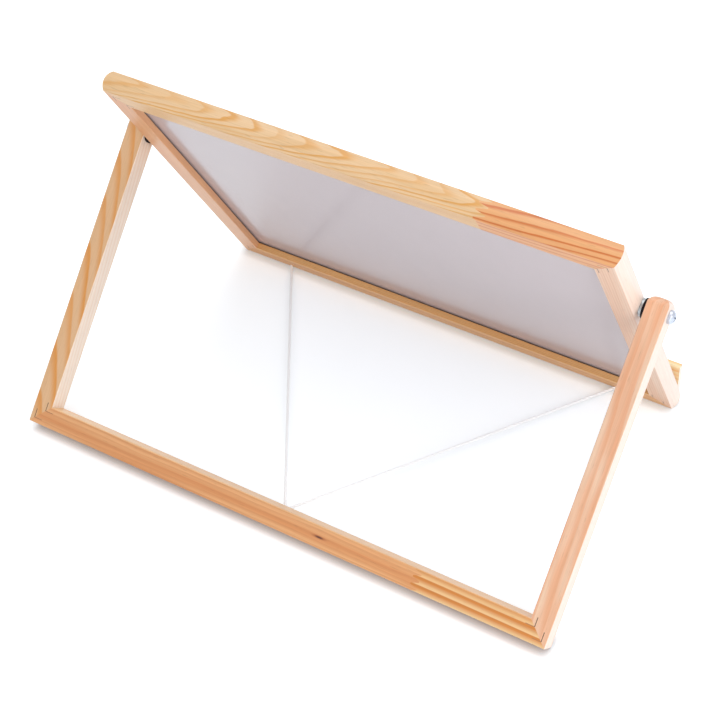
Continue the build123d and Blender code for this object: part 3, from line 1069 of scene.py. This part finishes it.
        rows, columns = len(spine), self.around
        step, spoke = np.meshgrid(np.arange(rows - 1), np.arange(columns), indexing="ij")
        after = (spoke + 1) % columns
        quads = np.stack([step * columns + spoke, step * columns + after,
                          (step + 1) * columns + after, (step + 1) * columns + spoke], axis=-1).reshape(-1, 4)
        offsets = (numbers * rows * columns)[:, None, None]
        along_map, round_map = step / self.steps, spoke / columns
        next_along, next_round = along_map + 1 / self.steps, round_map + 1 / columns
        corners = np.stack([
            np.stack([along_map, round_map], -1), np.stack([along_map, next_round], -1),
            np.stack([next_along, next_round], -1), np.stack([next_along, round_map], -1),
        ], axis=2).reshape(-1, 4, 2)
        shifts = numbers[:, None, None, None] * np.array(self.map_shift)
        return (skin.reshape(-1, 3), (quads[None] + offsets).reshape(-1, 4),
                (corners[None] + shifts).reshape(-1, 2))

    def build(self) -> bpy.types.Object:
        """Makes the cord and bends it between the board and the stand.

        Returns:
            The cord.
        """
        spine = self.spine()
        vertices, quads, corners = self.strands(spine)
        rows, columns = len(spine), self.around
        starts = np.arange(self.strand_count) * rows * columns
        spokes = np.arange(columns)
        first = starts[:, None] + spokes[::-1]
        last = starts[:, None] + (rows - 1) * columns + spokes
        mesh = bpy.data.meshes.new("twisted_cord")
        mesh.from_pydata(vertices, [], [*quads.tolist(), *first.tolist(), *last.tolist()])
        layer = mesh.uv_layers.new(name="strand")
        flat = np.zeros((len(mesh.loops), 2))
        flat[:len(corners)] = corners
        layer.data.foreach_set("uv", flat.ravel())
        mesh.shade_smooth()
        mesh.materials.append(self.finish.make())
        mesh.validate()
        cord = bpy.data.objects.new("twisted_cord", mesh)
        bpy.context.scene.collection.objects.link(cord)
        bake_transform(cord)
        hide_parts("spread_cord")
        log.info("twisted_cord: %d strands, %d rings", self.strand_count, rows)
        return cord


# ---------------------------------------------------------------- the studio


@dataclass(frozen=True)
class Softbox:
    """A square lamp.

    Attributes:
        name: Its name.
        place: Where its middle is.
        aim: The point that it faces.
        size: Its side.
        power: Its power in watts.
        colour: The colour of its light.
    """

    name: str
    place: Point
    aim: Point
    size: float
    power: float
    colour: Colour = (1.0, 1.0, 1.0)

    def build(self) -> None:
        """Hangs the lamp."""
        lamp = bpy.data.lights.new(self.name, "AREA")
        lamp.shape = "SQUARE"
        lamp.size = self.size
        lamp.energy = self.power
        lamp.color = self.colour
        holder = bpy.data.objects.new(self.name, lamp)
        holder.location = self.place
        holder.rotation_euler = (Vector(self.aim) - Vector(self.place)).to_track_quat("-Z", "Y").to_euler()
        bpy.context.scene.collection.objects.link(holder)
        log.info("%s hung", self.name)


@dataclass(frozen=True)
class Viewpoint:
    """Where the picture is taken from.

    Attributes:
        place: The camera's place.
        azimuth: How far it stands round the object, from -Y towards +X, in degrees.
        elevation: How far it looks down, in degrees.
        roll: How far the picture is turned, in degrees.
        lens: Its focal length in millimetres.
        sensor: Its sensor's side in millimetres.
        nearest: How close to it things still show.
    """

    place: Point = (-0.50584, 0.83878, 0.96252)
    azimuth: float = 211.462
    elevation: float = 42.568
    roll: float = -1.030
    lens: float = 87.342
    sensor: float = 36.0
    nearest: float = 0.01

    def build(self) -> None:
        """Places the camera and makes it the scene's own."""
        around, down, roll = (math.radians(a) for a in (self.azimuth, self.elevation, self.roll))
        back = Vector((math.sin(around) * math.cos(down), -math.cos(around) * math.cos(down), math.sin(down)))
        level = Vector((0.0, 0.0, 1.0)).cross(back).normalized()
        upright = back.cross(level)
        right = level * math.cos(roll) + upright * math.sin(roll)
        above = upright * math.cos(roll) - level * math.sin(roll)
        camera = bpy.data.cameras.new("viewpoint")
        camera.lens = self.lens
        camera.sensor_width = self.sensor
        camera.clip_start = self.nearest
        holder = bpy.data.objects.new("viewpoint", camera)
        turn = Matrix((right, above, back)).transposed().to_4x4()
        holder.matrix_world = Matrix.Translation(self.place) @ turn
        bpy.context.scene.collection.objects.link(holder)
        bpy.context.scene.camera = holder
        log.info("camera placed")


@dataclass
class Studio:
    """A white table, a white room and soft lamps.

    Attributes:
        table_half: Half the side of the table.
        table_colour: Its colour.
        shown_colour: The colour that it shows to the camera and in reflections.
        table_gain: How much brighter than lit it shows there.
        table_lift: How much plain white it shows there on top.
        corner_depth: How far a corner's own shade reaches on it.
        corner_samples: How finely that shade is worked out.
        corner_share: How much of its brightness it keeps in the deepest corner.
        corner_inside: How much of that shade shows below the board, where light comes in from behind.
        stand_foot: How far back the stand's foot is, where all of it shows.
        room_light: How strongly the room lights the object.
        room_lean: How much stronger than that it is from -X, and how much weaker from +X.
        lamps: The lamps.
    """

    table_half: float = 3.0
    table_colour: Colour = (0.94, 0.94, 0.94)
    shown_colour: Colour = (0.895, 0.93, 0.955)
    table_gain: float = 1.12
    table_lift: float = 0.41
    corner_depth: float = 0.0085
    corner_samples: int = 8
    corner_share: float = 0.34
    corner_inside: float = 0.6
    stand_foot: float = 0.1
    room_light: float = 0.69
    room_lean: float = 0.32
    lamps: tuple[Softbox, ...] = (
        Softbox("key_softbox", (-1.5, 0.45, 1.0), (0.0, 0.0, 0.1), 1.3, 6.0, (1.0, 0.985, 0.965)),
        Softbox("top_softbox", (0.3, -0.5, 1.9), (0.0, 0.0, 0.0), 1.2, 8.0),
        Softbox("low_softbox", (-0.75, 0.65, 0.3), (0.0, 0.0, 0.1), 0.6, 1.9),
    )

    def seen(self, w: Wiring) -> Socket:
        """Tells a ray from the camera, a reflection or a ray through glass from light on a surface.

        Args:
            w: The wiring of the table's or the room's nodes.

        Returns:
            1 for the first three, 0 for light on a surface.
        """
        rays = w.add("ShaderNodeLightPath").outputs
        mirrored = w.maths("MAXIMUM", rays["Is Glossy Ray"], rays["Is Transmission Ray"])
        return w.maths("MAXIMUM", rays["Is Camera Ray"], mirrored)

    def table_finish(self) -> bpy.types.Material:
        """Makes the table's material, which takes shadows and otherwise shows white to the camera.

        Where the table is seen, its gain, its lift and the shade in its corners show. The light that
        it throws on the object comes from its plain colour.

        Returns:
            The material.
        """
        material = bpy.data.materials.new("white_table")
        w = emptied(material)
        seen = self.seen(w)
        corners = w.add("ShaderNodeAmbientOcclusion", {"Distance": self.corner_depth},
                        samples=self.corner_samples).outputs["AO"]
        back = w.apart(w.place())[1]
        amount = w.remap(back, 0.0, self.stand_foot, self.corner_inside, 1.0)
        open_share = w.maths("MULTIPLY_ADD", w.maths("SUBTRACT", corners, 1.0), amount, 1.0)
        bright = dimmed(linear(self.shown_colour), self.table_gain)
        shown = w.mix(open_share, dimmed(bright, self.corner_share), bright)
        matt = w.add("ShaderNodeBsdfDiffuse", {"Color": w.mix(seen, linear(self.table_colour), shown)})
        white = w.maths("MULTIPLY", w.maths("MULTIPLY", seen, open_share), self.table_lift)
        lift = w.add("ShaderNodeEmission", {"Strength": white})
        both = w.add("ShaderNodeAddShader", {0: matt.outputs[0], 1: lift.outputs[0]})
        w.add("ShaderNodeOutputMaterial", {"Surface": both.outputs[0]})
        return material

    def table(self) -> None:
        """Lays the table."""
        half = self.table_half
        mesh = bpy.data.meshes.new("table")
        mesh.from_pydata([(-half, -half, 0.0), (half, -half, 0.0), (half, half, 0.0), (-half, half, 0.0)],
                         [], [(0, 1, 2, 3)])
        mesh.materials.append(self.table_finish())
        table = bpy.data.objects.new("table", mesh)
        bpy.context.scene.collection.objects.link(table)

    def room(self) -> None:
        """Fills the room with soft light, a little stronger from -X, and shows it as white."""
        world = bpy.data.worlds.new("white_room")
        bpy.context.scene.world = world
        w = emptied(world)
        sideways = w.apart(w.add("ShaderNodeTexCoord").outputs["Generated"])[0]
        leaning = w.maths("MULTIPLY_ADD", sideways, -self.room_lean * self.room_light, self.room_light)
        # A Mix node's plain numbers are its inputs 2 and 3, and a strength of 1 shows as white.
        strength = w.add("ShaderNodeMix", {0: self.seen(w), 2: leaning, 3: 1.0}).outputs[0]
        light = w.add("ShaderNodeBackground", {"Color": WHITE, "Strength": strength})
        w.add("ShaderNodeOutputWorld", {"Surface": light.outputs[0]})

    def build(self) -> None:
        """Builds the table, the room and the lamps."""
        bpy.context.scene.view_settings.view_transform = "Standard"
        self.table()
        self.room()
        for lamp in self.lamps:
            lamp.build()


def main() -> None:
    """Builds the camera and the cord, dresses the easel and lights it."""
    logging.basicConfig(level=logging.INFO, format="%(name)s: %(message)s")
    Viewpoint().build()
    SpreadCord().build()
    for assembly in (Board(), Stand(), Pivots()):
        assembly.build()
    Studio().build()


if __name__ == "__main__":
    main()
